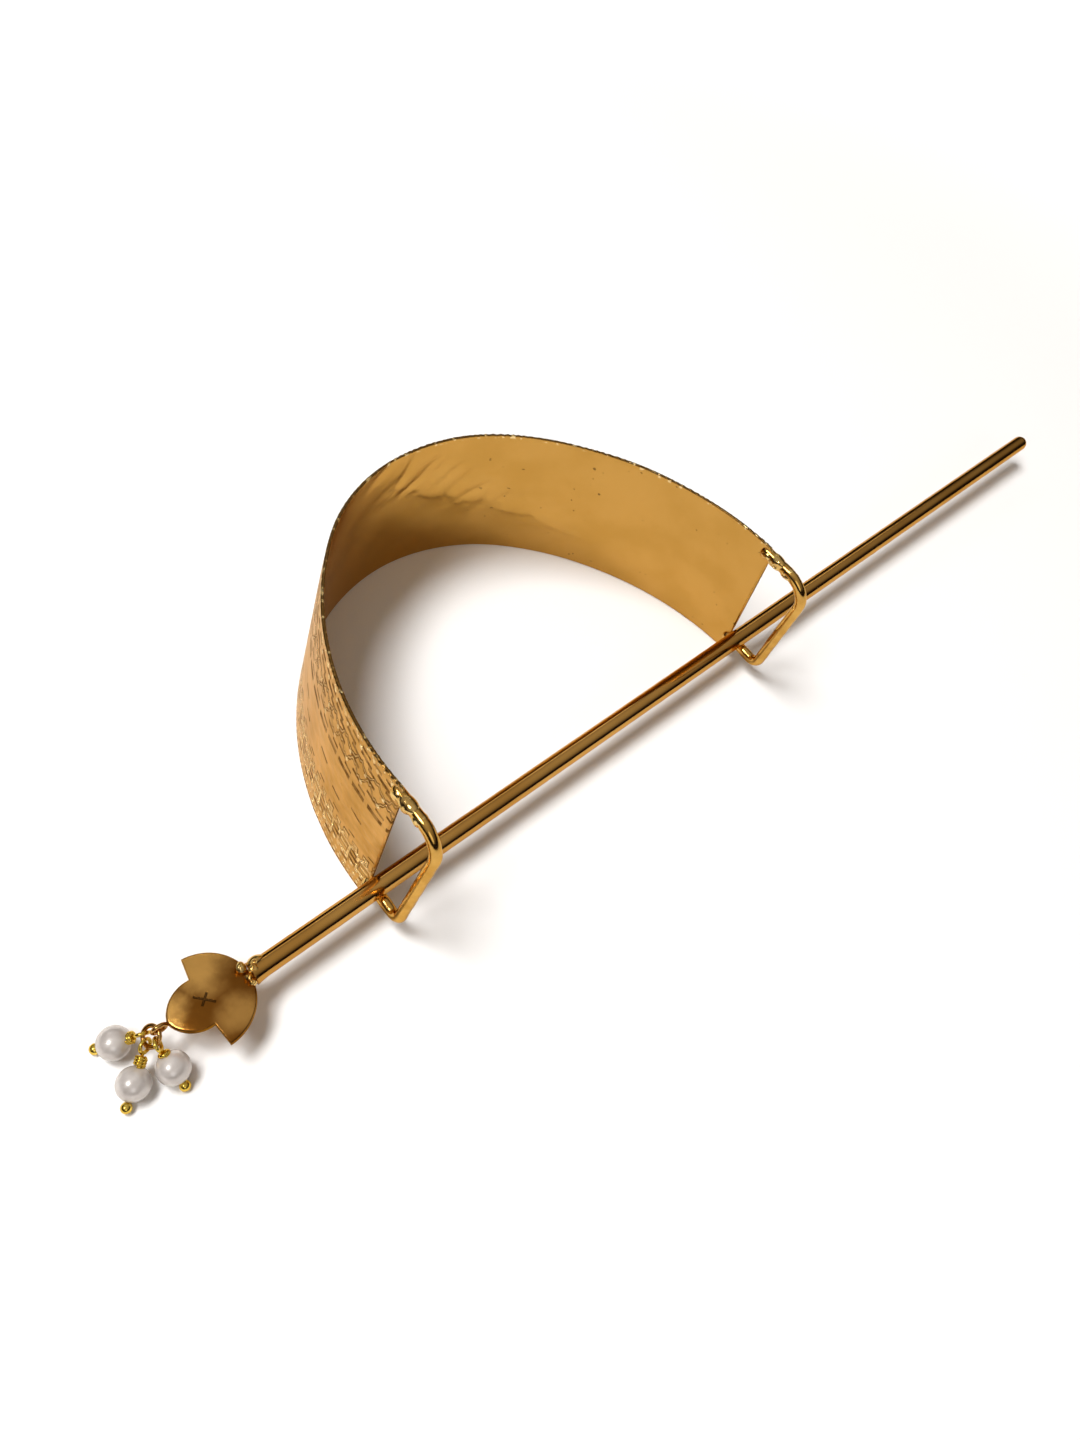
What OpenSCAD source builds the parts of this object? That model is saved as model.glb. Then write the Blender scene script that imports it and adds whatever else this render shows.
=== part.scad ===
// Bun pin: a brass cuff bent to a deep half round, with a wire loop soldered to each
// end, and a long stick that slides through both loops and holds the cuff over a bun
// of hair. The stick's head carries a domed plate and three pearl drops on a ring.
// The origin is at the foot of the cuff's crown, on the surface it stands on; +Z is
// up, +X runs along the stick from its head to its tip, and +Y points out at the crown.

/* [Cuff] */
// Height of the band, foot to rim
band_h = 30; // [24:1:36]
// Thickness of the sheet between the raised lines
sheet_t = 0.8; // [0.7:0.1:1.2]
// Radius of the crown at the foot, to the middle of the sheet
crown_r = 32; // [30:0.1:35]
// Radius of the two flanks at the foot, to the middle of the sheet
flank_r = 53.8; // [50:0.1:58]
// Angle from the middle of the crown to the start of each flank
crown_half = 40.5; // [36:0.1:46]
// How far the wall leans inwards for each millimetre of height
lean = 0.12; // [0.02:0.01:0.15]
// How far the ends reach out for each millimetre of height
end_slant = 0.05; // [0:0.01:0.06]
// Height of the raised border lines above the sheet
line_h = 0.15; // [0.1:0.05:0.2]
// Width of a raised border line
line_w = 0.5; // [0.3:0.1:0.8]
// Radius of the rounded corners at the two ends
corner_r = 1.4; // [0.8:0.1:2]

/* [Loops] */
// Diameter of the loop wire
loop_wire = 1.8; // [1.4:0.1:2]
// Reach of the loop beyond the end of the band, near the top
reach_top = 9.6; // [8.6:0.1:11]
// Reach of the loop beyond the end of the band, near the foot
reach_foot = 6.9; // [6.4:0.1:8]
// Height of the loop's lower corner, where the run that carries the stick begins
low_z = 3.2; // [3:0.1:3.6]
// Rise of the lower run towards the band
run_rise = 1; // [0:0.1:1.4]

/* [Stick] */
// Diameter of the rod
rod_d = 3; // [2.6:0.1:3.2]
// Length of the rod from the plate to the rounded tip
rod_l = 191.8; // [150:0.1:230]
// Length of the rod on the head's side of the middle of the cuff
head_l = 60; // [56:0.1:75]
// Gap between the rod and the end faces of the band
rod_gap = 0.2; // [0.2:0.1:0.8]

/* [Head plate] */
// Thickness of the plate
plate_t = 1; // [0.8:0.1:1.2]
// Radius of the dome that the plate is struck to
dome_r = 32; // [28:1:60]
// Radius of the plate's broad cap
cap_r = 6.7; // [6.6:0.1:7.5]
// Turn of the plate, and of all that hangs from it, about the rod's end
head_turn = -4.5; // [-8:0.5:8]

/* [Drops] */
// Diameter of a pearl
pearl_d = 4.5; // [4.2:0.1:4.6]
// Diameter of the head pin wire
pin_wire = 0.5; // [0.4:0.05:0.55]
// Diameter of the ball at the end of a head pin
ball_d = 1.5; // [1.3:0.1:1.6]
// Mean radius of the jump ring
ring_r = 1.35; // [1.25:0.05:1.4]
// Diameter of the jump ring wire
ring_wire = 0.6; // [0.5:0.05:0.65]

/* [Hidden] */
$fn = 96;

brass = [0.78, 0.60, 0.33];
gold = [0.80, 0.62, 0.30];
pearl_colour = [0.90, 0.88, 0.85];

// Heights of the raised lines, the lower edge of each
lines_z = [1.0, 8.4, band_h - 8.9, band_h - 1.5];

// Plan of the band at its foot: a crown arc and two flank arcs that meet it smoothly
flank_cx = (flank_r - crown_r) * sin(crown_half);
end_y = -crown_r - (flank_r - crown_r) * cos(crown_half);
end_x = flank_r - flank_cx;
lean_deg = atan(lean);

// The rod rests on the lower runs of both loops, close to the band's end faces
rod_r = rod_d / 2;
foot_u = -0.6;
run_slope = atan(run_rise / (reach_foot - foot_u));
rod_y = end_y - 0.4 - rod_gap - rod_r;
rod_z = low_z + (reach_foot - end_y + rod_y) * tan(run_slope)
  + (loop_wire / 2 + rod_r + 0.03) / cos(run_slope);

// Head plate, ring and drops
eye_r = 0.9;
eye_wire = 0.6;
eye_u = 12.9;
eye_c = [-head_l - eye_u, rod_y, rod_z];
ring_tilt = 40;
ring_dir = [-cos(ring_tilt), 0, -sin(ring_tilt)];
ring_c = eye_c + (ring_r + 0.22) * ring_dir;
pearl_r = pearl_d / 2;
pin_r = pin_wire / 2;
pin_loop_r = 0.9;
wrap_step = 0.92 * pin_wire;
loop_slack = 0.14;

// Each drop: place round the jump ring, heading over the floor, number of wraps
drops = [
  [50, 153, 2],
  [-12, 221.5, 3],
  [-102, 276, 1]
];

function wall(r, z) = r - lean * z;
function line_steps(r, z) = [
  [wall(r, z + line_w), z + line_w],
  [wall(r, z + line_w) + line_h, z + line_w],
  [wall(r, z) + line_h, z],
  [wall(r, z), z]
];

// The sheet's section at radius r, with its raised lines on the outer face; x thickens
// the wall on both faces
module band_section(r, x) {
  outer = r + sheet_t / 2 + x;
  inner = r - sheet_t / 2 - x;
  polygon(concat(
    [[wall(inner, 0), 0], [wall(inner, band_h), band_h], [wall(outer, band_h), band_h]],
    line_steps(outer, lines_z[3]), line_steps(outer, lines_z[2]),
    line_steps(outer, lines_z[1]), line_steps(outer, lines_z[0]),
    [[wall(outer, 0), 0]]
  ));
}

// One arc of the band: centre c, radius r, from bearing a0 over the angle a
module band_arc(c, r, a0, a, x = 0)
  translate(c) rotate([0, 0, a0]) rotate_extrude(angle = a, $fn = 240) band_section(r, x);

// Cuts an end to a face that reaches out a little more at the rim than at the foot
module end_cut()
  translate([0, end_y, 0]) rotate([atan(end_slant), 0, 0])
    translate([-71, -20, -10]) cube([142, 20, band_h + 20]);

// Rounds the corner at height z of an end that lies at y; up is 1 at the rim
module corner_cut(z, y, up)
  translate([0, y, z])
  difference() {
    translate([-72, -2, up > 0 ? -corner_r : -2]) cube([144, corner_r + 2, corner_r + 2]);
    translate([-73, corner_r, up > 0 ? -corner_r : corner_r])
      rotate([0, 90, 0]) cylinder(h = 146, r = corner_r);
  }

// Half of the band, from the middle of the crown to one end. The crown's arc is a hair
// thicker and runs on a little, so that the start of the flank lies inside it.
module half_band()
  difference() {
    union() {
      band_arc([0, -crown_r, 0], crown_r, 90, crown_half + 0.5, 0.01);
      band_arc([flank_cx, end_y, 0], flank_r, 90 + crown_half, 93 - crown_half);
    }
    end_cut();
    corner_cut(band_h, end_y - end_slant * band_h, 1);
    corner_cut(0, end_y, -1);
  }

// Straight wire from p to q in the XY plane
module wire_run(p, q, r)
  translate([p[0], p[1], 0])
  rotate([0, 90, atan2(q[1] - p[1], q[0] - p[0])])
    cylinder(h = norm(q - p), r = r);

// Bend of radius b at corner c, between the directions a0 and a1, turning right. Its
// wire is a hair thicker than the straight runs, which end a little way inside it.
module wire_bend(c, b, a0, a1, r) {
  turn = a0 - a1;
  t = b * tan(turn / 2);
  start = c - t * [cos(a0), sin(a0)];
  mid = start + b * [sin(a0), -cos(a0)];
  translate([mid[0], mid[1], 0]) rotate([0, 0, a1 + 90])
    rotate_extrude(angle = turn) translate([b, 0]) circle(r + 0.02);
}

// The loop in its own plane: x is the reach beyond the band's end, y the height
module loop_flat() {
  r = loop_wire / 2;
  top = [foot_u, band_h - 1.3];
  far = [reach_top, band_h - 2.1];
  low = [reach_foot, low_z];
  foot = [foot_u, low_z + run_rise];
  a0 = atan2(far[1] - top[1], far[0] - top[0]);
  a1 = atan2(low[1] - far[1], low[0] - far[0]);
  a2 = -180 - run_slope;
  b1 = 3.2;
  b2 = 1.7;
  t1 = b1 * tan((a0 - a1) / 2) - 0.1;
  t2 = b2 * tan((a1 - a2) / 2) - 0.1;
  wire_run(top, far - t1 * [cos(a0), sin(a0)], r);
  wire_bend(far, b1, a0, a1, r);
  wire_run(far + t1 * [cos(a1), sin(a1)], low - t2 * [cos(a1), sin(a1)], r);
  wire_bend(low, b2, a1, a2, r);
  wire_run(low + t2 * [cos(a2), sin(a2)], foot, r);
  // solder at the two corners of the band
  translate([1, band_h - 1.7, 0.15]) sphere(1.5);
  translate([0.3, foot[1] - 0.35, 0.15]) sphere(1.45);
}

module loop(side)
  translate([side * end_x, end_y, 0])
  rotate([0, -side * lean_deg, 0])
  rotate([90, 0, -90])
    loop_flat();

module cuff()
  color(brass) {
    half_band();
    mirror([1, 0, 0]) half_band();
    loop(-1);
    loop(1);
  }

// Outline of the head plate: x runs from the rod's end towards the eye
module plate_outline() {
  intersection() {
    translate([cap_r + 0.1, 0]) circle(cap_r);
    polygon([[-1, -9], [6.2, -9], [7.1, -3], [7.1, 3], [6.2, 9], [-1, 9]]);
  }
  intersection() {
    translate([7.4, 1.1]) circle(4.6);
    translate([7.4, -1.1]) circle(4.6);
    translate([5.5, -5]) square([8, 10]);
  }
}

module head_plate()
  intersection() {
    translate([0, 0, -3]) linear_extrude(height = 6) plate_outline();
    translate([6.5, 0, 0.95 - dome_r]) difference() {
      sphere(dome_r, $fn = 300);
      sphere(dome_r - plate_t, $fn = 300);
    }
  }

module stick()
  color(gold)
  translate([-head_l, rod_y, rod_z]) {
    rotate([0, 90, 0]) cylinder(h = rod_l - rod_r, r = rod_r);
    translate([rod_l - rod_r, 0, 0]) sphere(rod_r);
    rotate([0, 0, 180 + head_turn]) head_plate();
    // collar turns and solder where the rod meets the plate
    translate([-0.9, 0, 0]) rotate([0, 90, 0]) cylinder(h = 0.7, r = rod_r + 0.2);
    translate([0.1, 0, 0]) rotate([0, 90, 0]) cylinder(h = 0.5, r = rod_r + 0.12);
    translate([-0.8, 1.25, 0.75]) sphere(0.95);
    translate([1.2, 0.75, 0.75]) sphere(1.1);
    // wire eye on the plate's point
    rotate([0, 0, head_turn]) translate([-eye_u, 0, 0]) rotate([90, 0, 0])
      rotate_extrude() translate([eye_r, 0]) circle(eye_wire / 2, $fn = 48);
  }

// Turns its children with the plate about the rod's end
module on_head()
  translate([-head_l, rod_y, rod_z]) rotate([0, 0, head_turn])
  translate([head_l, -rod_y, -rod_z]) children();

module jump_ring()
  color(gold) on_head()
  translate(ring_c) rotate([0, -ring_tilt, 0])
    rotate_extrude() translate([ring_r, 0]) circle(ring_wire / 2, $fn = 48);

// Length from the middle of a pin's loop to the middle of its pearl
function drop_l(n) = pin_loop_r + pin_r + n * wrap_step + 0.04 + pearl_r;
function ring_point(a) = ring_c + ring_r * (cos(a) * ring_dir + sin(a) * [0, 1, 0]);
function ring_along(a) = -sin(a) * ring_dir + cos(a) * [0, 1, 0];

// A drop leans down until its pearl or its ball lies on the surface
function dip(d) =
  let (z = ring_point(d[0])[2], l = drop_l(d[2]) + loop_slack)
  min(asin((z - pearl_r) / l), asin((z - ball_d / 2) / (l + pearl_r + ball_d / 2 + 0.02)));

// The pin's loop turns about the pin until it lies square across the ring's wire
function roll(d) =
  let (t = ring_along(d[0]), p = dip(d), w = d[1])
  atan((t * [sin(p) * cos(w), sin(p) * sin(w), cos(p)]) / (t * [-sin(w), cos(w), 0]));

// Sets its children at a drop: x runs from the middle of the pin's loop to the pearl
module at_drop(d)
  on_head()
  translate(ring_point(d[0])) rotate([0, dip(d), d[1]]) rotate([roll(d), 0, 0])
    translate([loop_slack, 0, 0]) children();

module head_pin(d)
  color(gold) at_drop(d) rotate([0, 90, 0]) {
    l = drop_l(d[2]);
    // turned loop, shaft, wraps and ball, with z along the pin
    rotate([90, 0, 0]) rotate_extrude() translate([pin_loop_r, 0]) circle(pin_r, $fn = 48);
    translate([0, 0, pin_loop_r])
      cylinder(h = l - pin_loop_r + pearl_r + ball_d / 2, r = pin_r, $fn = 48);
    for (k = [0 : d[2] - 1])
      translate([0, 0, pin_loop_r + pin_r + (k + 0.5) * wrap_step])
        rotate_extrude() translate([0.85 * pin_wire, 0]) circle(pin_r, $fn = 48);
    translate([0, 0, l + pearl_r + ball_d / 2 + 0.02]) sphere(ball_d / 2);
  }

module pearl(d)
  color(pearl_colour) at_drop(d) rotate([0, 90, 0])
  translate([0, 0, drop_l(d[2])])
    difference() {
      sphere(pearl_r);
      translate([0, 0, -pearl_r - 1]) cylinder(h = pearl_d + 2, r = pin_r + 0.05, $fn = 48);
    }

cuff();
stick();
jump_ring();
head_pin(drops[0]);  // head_pin_1
head_pin(drops[1]);  // head_pin_2
head_pin(drops[2]);  // head_pin_3
pearl(drops[0]);  // pearl_1
pearl(drops[1]);  // pearl_2
pearl(drops[2]);  // pearl_3
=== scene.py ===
import math

import bpy
import numpy as np
from mathutils import Matrix, Vector


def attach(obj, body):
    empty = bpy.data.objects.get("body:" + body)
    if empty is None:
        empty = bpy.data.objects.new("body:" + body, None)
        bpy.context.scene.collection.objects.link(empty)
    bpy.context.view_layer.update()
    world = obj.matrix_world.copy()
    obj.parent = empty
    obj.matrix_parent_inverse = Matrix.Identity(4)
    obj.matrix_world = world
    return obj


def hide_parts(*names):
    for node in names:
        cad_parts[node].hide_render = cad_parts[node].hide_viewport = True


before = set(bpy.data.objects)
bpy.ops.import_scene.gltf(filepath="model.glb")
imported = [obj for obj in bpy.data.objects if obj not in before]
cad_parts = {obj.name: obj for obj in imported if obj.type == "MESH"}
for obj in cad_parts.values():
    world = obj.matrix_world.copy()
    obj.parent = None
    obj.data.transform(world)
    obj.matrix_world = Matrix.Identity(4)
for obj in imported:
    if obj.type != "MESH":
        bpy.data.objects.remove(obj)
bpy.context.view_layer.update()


# The band. A strip of brass sheet 0.8 mm thick, rolled between patterned rolls so that its
# outer face carries two borders, then bent round a former to a deep half round that leans
# in towards its rim. It stands on its edge. Sizes are in millimetres.
BAND_HEIGHT = 30.0
SHEET = 0.8
EDGE_ROUND = 0.25
LEAN = 0.12
HALF_LENGTH = 69.0
# seen from above the strip is three arcs: the crown's, and on each side a flatter flank's
CROWN_RADIUS = 32.0
FLANK_RADIUS = 53.8
CROWN_HALF = math.radians(40.5)
CROWN_REACH = CROWN_RADIUS * CROWN_HALF
FLANK_SHIFT = (FLANK_RADIUS - CROWN_RADIUS) * math.sin(CROWN_HALF)
END_X = FLANK_RADIUS - FLANK_SHIFT
END_Y = -CROWN_RADIUS - (FLANK_RADIUS - CROWN_RADIUS) * math.cos(CROWN_HALF)
END_SLANT = 0.05
CORNER_ROUND = 1.4


def lay_mesh(name, points, faces, body, slot, stands_for, marks=None):
    """Makes one piece from points in millimetres. The faces are turned over where the sum of
    their signed tetrahedra, taken from the origin, comes out negative, so they point out."""
    points = np.asarray(points, float) * 0.001
    quads = [f for f in faces if len(f) == 4]
    corners = points[np.array(quads)]
    volume = np.einsum("ij,ij->i", np.cross(corners[:, 0], corners[:, 1]), corners[:, 2]).sum()
    volume += np.einsum("ij,ij->i", np.cross(corners[:, 0], corners[:, 2]), corners[:, 3]).sum()
    if volume < 0:
        faces = [f[::-1] for f in faces]
    mesh = bpy.data.meshes.new(name)
    mesh.from_pydata(points.tolist(), [], faces)
    mesh.shade_smooth()
    for mark, values in (marks or {}).items():
        made = mesh.attributes.new(mark, "FLOAT_VECTOR", "POINT")
        made.data.foreach_set("vector", np.asarray(values, np.float32).ravel())
    piece = bpy.data.objects.new(name, mesh)
    bpy.context.scene.collection.objects.link(piece)
    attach(piece, body)
    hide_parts(stands_for)
    return piece


def grid_faces(rows, columns, start=0, rows_meet=False, columns_meet=False):
    """Quads of a grid whose point number is start + row * columns + column. A direction that
    meets itself goes on from its last line to its first."""
    r = np.arange(rows if rows_meet else rows - 1)[:, None]
    c = np.arange(columns if columns_meet else columns - 1)[None, :]
    r2, c2 = (r + 1) % rows, (c + 1) % columns
    quads = np.stack([r * columns + c, r * columns + c2, r2 * columns + c2, r2 * columns + c], -1)
    return (quads.reshape(-1, 4) + start).tolist()


def soft_dents(s, z, count, depth, width, seed):
    """Shallow dents of a hammer or a thumb: depth times a sum of bells exp(-d*d/2), where d is the
    distance from a dent's middle over its width, which is 1.4 times more along the strip."""
    chance = np.random.default_rng(seed)
    total = np.zeros(np.broadcast(s, z).shape)
    for _ in range(count):
        middle = chance.uniform(-HALF_LENGTH, HALF_LENGTH), chance.uniform(0, BAND_HEIGHT)
        wide = chance.uniform(0.6, 1.3) * width
        far = ((s - middle[0]) / (wide * 1.4)) ** 2 + ((z - middle[1]) / wide) ** 2
        total += chance.uniform(0.3, 1) * np.exp(-far / 2)
    return depth * total


def soft_creases(s, z):
    """The marks left inside the crown where the sheet was pulled round the former: long bells
    exp(-(u/long)**2/2 - (v/wide)**2/2), where u and v are the distances along and across one.
    Their middles step down and to the right from (-5, 27), and they grow shallower with s."""
    chance = np.random.default_rng(31)
    total = np.zeros(np.broadcast(s, z).shape)
    for step in range(17):
        middle = -5 + 2.6 * step, 27 - 1.15 * step + chance.uniform(-2.5, 2.5)
        tilt = chance.uniform(0.3, 1.1)
        long, wide = chance.uniform(1.8, 3.4), chance.uniform(0.5, 0.9)
        du, dv = s - middle[0], z - middle[1]
        along = du * math.cos(tilt) + dv * math.sin(tilt)
        across = dv * math.cos(tilt) - du * math.sin(tilt)
        bell = np.exp(-(along / long) ** 2 / 2 - (across / wide) ** 2 / 2)
        total += chance.uniform(0.4, 1) * bell
    return 0.20 * total * np.clip(1.25 - s / 44, 0.25, 1)


FOLD_HEIGHT = 21.5
FOLD_FADE = 0.16


def fold_fall(s):
    """How far the fold inside the crown has fallen below FOLD_HEIGHT at s: 0.62 s - 0.0065 s*s."""
    return s * (0.62 - s * 0.0065)


def pressed_fold(s, z):
    """Where the former pressed, the inner face turns back below a wavy line by 0.24 * (2u - u*u)
    mm, where u goes from 0 at the line to 1 at 1 / FOLD_FADE mm below it. At both ends it fades
    out as t*t*(3 - 2t)."""
    line = FOLD_HEIGHT - fold_fall(s) + 0.5 * np.sin(s * 0.8) + 0.3 * np.sin(s * 1.9 + 1)
    under = np.clip((line - z) * FOLD_FADE, 0, 1)
    near = np.clip((s + 12) / 17, 0, 1) * np.clip((46 - s) / 21, 0, 1)
    return 0.24 * (2 * under - under ** 2) * near ** 2 * (3 - 2 * near)


def worn_teeth(s, z, side):
    """How far the rim is worn down, at most 0.2 mm: waves 1.15 mm apart whose phase wanders and
    whose depth swells and fades along the strip. They begin 1 mm below the rim, and are a third
    as deep on the inner face."""
    teeth = 0.5 + 0.5 * np.sin(2 * np.pi * s / 1.15 + 1.5 * np.sin(s * 0.9))
    near_rim = np.clip((z - 29.0) / 0.7, 0, 1) * (0.35 + 0.65 * side)
    return 0.20 * near_rim * teeth * (0.6 + 0.4 * np.sin(s * 0.37 + 1))


def band_end(z):
    """Length along the sheet from the crown to an end at height z. The end's y is END_Y less
    END_SLANT * z, and it draws back in the two corners along quarter circles of CORNER_ROUND."""
    into = np.maximum(0, CORNER_ROUND - np.minimum(z, BAND_HEIGHT - z))
    back = CORNER_ROUND - np.sqrt(np.maximum(CORNER_ROUND ** 2 - into ** 2, 0))
    turn = np.arccos((back - END_SLANT * z) / (FLANK_RADIUS - LEAN * z))
    return CROWN_REACH + (turn - CROWN_HALF) * FLANK_RADIUS


def band_place(s, z, out):
    """Point of the band at the length s from the crown, the height z and the distance out from
    the sheet's middle. Its bearing is s over the crown's radius, and beyond the crown's reach
    goes on at the flank's radius. Radius there = arc's radius - LEAN * z + out."""
    far = np.abs(s)
    flank = far > CROWN_REACH
    bearing = np.where(flank, CROWN_HALF + (far - CROWN_REACH) / FLANK_RADIUS, far / CROWN_RADIUS)
    radius = np.where(flank, FLANK_RADIUS, CROWN_RADIUS) - LEAN * z + out
    x = np.sign(s) * (radius * np.sin(bearing) - np.where(flank, FLANK_SHIFT, 0))
    y = np.where(flank, END_Y, -CROWN_RADIUS) + radius * np.cos(bearing)
    return np.stack([x, y, z + 0 * x], -1)


def band_sheet():
    """The whole strip as one closed skin. Rows go up the outer face, over the rim, down the inner
    face and under the foot; columns go from the left end to the right one, and the last few on
    each side draw the two faces together over the rounded end. The top 6 mm are drawn thinner.
    A point's mark is (s, z, side), where side goes from 1 outside to 0 inside over the rim."""
    face, foot, rim = SHEET / 2, EDGE_ROUND, BAND_HEIGHT - EDGE_ROUND
    outer_rows, inner_rows, lengths = 96, 56, 560
    arc = np.radians([15, 45, 75])
    over = face - EDGE_ROUND + EDGE_ROUND * np.cos(arc)
    lift = EDGE_ROUND * np.sin(arc)
    z = np.concatenate([np.linspace(foot, rim, outer_rows), rim + lift, rim + lift[::-1],
                        np.linspace(rim, foot, inner_rows), foot - lift, foot - lift[::-1]])
    out = np.concatenate([np.full(outer_rows, face), over, -over[::-1],
                          np.full(inner_rows, -face), -over, over[::-1]])
    side = np.concatenate([np.ones(outer_rows), [0.9, 0.8, 0.7, 0.3, 0.2, 0.1],
                           np.zeros(inner_rows), [0] * 6])
    turn = np.radians([90, 60, 30])
    share = np.concatenate([-np.ones(3), np.linspace(-1, 1, lengths), np.ones(3)])
    back = np.concatenate([1 - np.sin(turn), np.ones(lengths), 1 - np.sin(turn[::-1])]) * EDGE_ROUND
    pinch = np.concatenate([1 - np.cos(turn), np.zeros(lengths), 1 - np.cos(turn[::-1])]) * EDGE_ROUND
    z, out, side = z[:, None], out[:, None], side[:, None]
    s = share[None, :] * (band_end(z) - back[None, :])
    waves = soft_dents(s, z, 26, -0.05, 5.0, 4)
    inside = soft_dents(s, z, 26, 0.06, 4.2, 23) + soft_creases(s, z) + pressed_fold(s, z)
    dents = np.where(out > 0, soft_dents(s, z, 150, -0.035, 1.5, 11), inside)
    faces_only = np.clip(np.abs(out) / face, 0, 1)
    drawn_thin = 0.13 * np.clip((z - 23.0) / 6.0, 0, 1) ** 2
    thick = np.sign(out) * np.maximum(np.abs(out) - pinch[None, :] - drawn_thin * faces_only, 0.01)
    out = thick + np.minimum(waves, 0) + dents * faces_only
    points = band_place(s, z - worn_teeth(s, z, side), out)
    rows, columns = s.shape
    quads = grid_faces(rows, columns, rows_meet=True)
    left_end = [r * columns for r in range(rows)]
    caps = [left_end[::-1], [first + columns - 1 for first in left_end]]
    marks = np.stack([s, z + 0 * s, side + 0 * s], -1)
    return points.reshape(-1, 3), quads + caps, marks.reshape(-1, 3)


class Field:
    """A number, colour or vector that varies over a surface. Arithmetic on it adds Math nodes."""

    def __init__(self, finish, socket):
        self.finish, self.socket = finish, socket

    def calc(self, operation, *values):
        return self.finish.node("ShaderNodeMath", {"operation": operation}, dict(enumerate(values)))

    def __add__(self, other):
        return self.calc("ADD", self, other)

    def __sub__(self, other):
        return self.calc("SUBTRACT", self, other)

    def __rsub__(self, other):
        return self.calc("SUBTRACT", other, self)

    def __mul__(self, other):
        return self.calc("MULTIPLY", self, other)

    def __pow__(self, other):
        return self.calc("POWER", self, other)

    def __mod__(self, other):
        return self.calc("FLOORED_MODULO", self, other)

    def __abs__(self):
        return self.calc("ABSOLUTE", self)

    __radd__, __rmul__ = __add__, __mul__

    def sine(self):
        return self.calc("SINE", self)

    def least(self, other):
        return self.calc("MINIMUM", self, other)

    def most(self, other):
        return self.calc("MAXIMUM", self, other)

    def rise(self, low, high, start=0.0, end=1.0):
        """Eases from start to end as the value goes from low to high."""
        return self.finish.node("ShaderNodeMapRange", {"interpolation_type": "SMOOTHSTEP"},
                                {0: self, 1: low, 2: high, 3: start, 4: end})


class Finish:
    """The finish of a piece's surface, or of the room round it: its material or world, the last
    shader in it, and the one method that adds nodes."""

    def __init__(self, name, kept_in=bpy.data.materials, shader="Principled BSDF"):
        self.material = kept_in.new(name)
        self.material.use_nodes = True
        self.tree = self.material.node_tree
        self.shader = self.tree.nodes[shader]

    def node(self, kind, settings=None, values=None, out=0):
        """Adds a node of this kind: its settings first, a ramp's stops among them, and then the
        values or links of its sockets. Gives back the output with the number out."""
        made = self.tree.nodes.new(kind)
        for key, value in (settings or {}).items():
            if key == "stops":
                made.color_ramp.elements.remove(made.color_ramp.elements[1])
                made.color_ramp.elements[0].position = value[0][0]
                made.color_ramp.elements[0].color = (*value[0][1], 1)
                for place, colour in value[1:]:
                    made.color_ramp.elements.new(place).color = (*colour, 1)
            else:
                setattr(made, key, value)
        for key, value in (values or {}).items():
            if isinstance(value, Field):
                self.tree.links.new(value.socket, made.inputs[key])
            else:
                made.inputs[key].default_value = value
        return Field(self, made.outputs[out])

    def where(self):
        """Object coordinates, in metres."""
        return self.node("ShaderNodeTexCoord", out=3)

    def parts(self, vector, count):
        """The first few numbers of a vector."""
        return [self.node("ShaderNodeSeparateXYZ", values={0: vector}, out=i) for i in range(count)]

    def cloud(self, size, detail=3.0, rough=0.5, place=None):
        """Noise whose lumps are about size millimetres across."""
        place = place or self.where()
        return self.node("ShaderNodeTexNoise", values={
            "Vector": place, "Scale": 1000 / size, "Detail": detail, "Roughness": rough})

    def blend(self, share, first, second):
        """The colour first where share is 0, second where it is 1."""
        first, second = [c if isinstance(c, Field) else (*c, 1) for c in (first, second)]
        return self.node("ShaderNodeMix", {"data_type": "RGBA"}, {0: share, 6: first, 7: second}, 2)

    def feed(self, **sockets):
        """Links fields to the shader's own sockets, and sets plain numbers and colours on them."""
        for name, value in sockets.items():
            socket = self.shader.inputs[name.replace("_", " ")]
            if isinstance(value, Field):
                self.tree.links.new(value.socket, socket)
            else:
                socket.default_value = value

    def relief(self, height, depth):
        """Bumps the surface by a height from 0 to 1, depth in millimetres at 1."""
        values = {"Strength": 1.0, "Distance": depth * 0.001, "Height": height}
        self.feed(Normal=self.node("ShaderNodeBump", values=values))


# The rows of the two borders. Each starts with its height and its repeat along the strip. Then
# come a dash's length, width, shift and tilt, a dot's radius and shift, and the swing of a key
# line or half the side of a square curl, with its width and shift.
KEY_LINES = (23.1, 4.3, 0.85, 0.26, 0.0), (25.3, 4.3, 0.5, 0.24, 1.4)
SQUARE_CURLS = (5.4, 5.0, 1.45, 0.50, 0.0), (8.0, 2.5, 0.45, 0.30, 1.2)
CUT_DASHES = (
    (28.4, 2.9, 2.0, 0.42, 0.0, 0.10),
    (27.2, 4.3, 2.9, 0.56, 0.4, 0.18),
    (26.1, 4.3, 2.4, 0.52, 2.4, 0.20),
    (24.3, 4.3, 2.2, 0.50, 2.5, 0.22),
    (22.0, 4.3, 2.2, 0.48, 3.4, 0.16),
    (20.9, 4.3, 1.9, 0.42, 1.2, 0.12),
    (19.5, 4.3, 3.4, 0.72, 0.4, 0.05),
    (14.6, 11.0, 2.8, 0.34, 3.0, 0.12),
    (12.4, 14.0, 2.4, 0.32, 9.0, 0.08),
    (6.6, 5.0, 1.7, 0.44, 2.5, 0.18),
    (5.4, 5.0, 2.1, 0.50, 2.5, 0.18),
    (4.2, 5.0, 1.7, 0.44, 2.5, 0.18),
    (8.9, 5.0, 1.6, 0.32, 0.0, 0.0),
    (2.8, 5.0, 1.8, 0.40, 0.6, 0.0),
    (9.9, 5.0, 1.6, 0.26, 1.1, 0.0),
    (0.35, 1.25, 0.75, 0.5, 0.0, 0.0),
)
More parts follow.
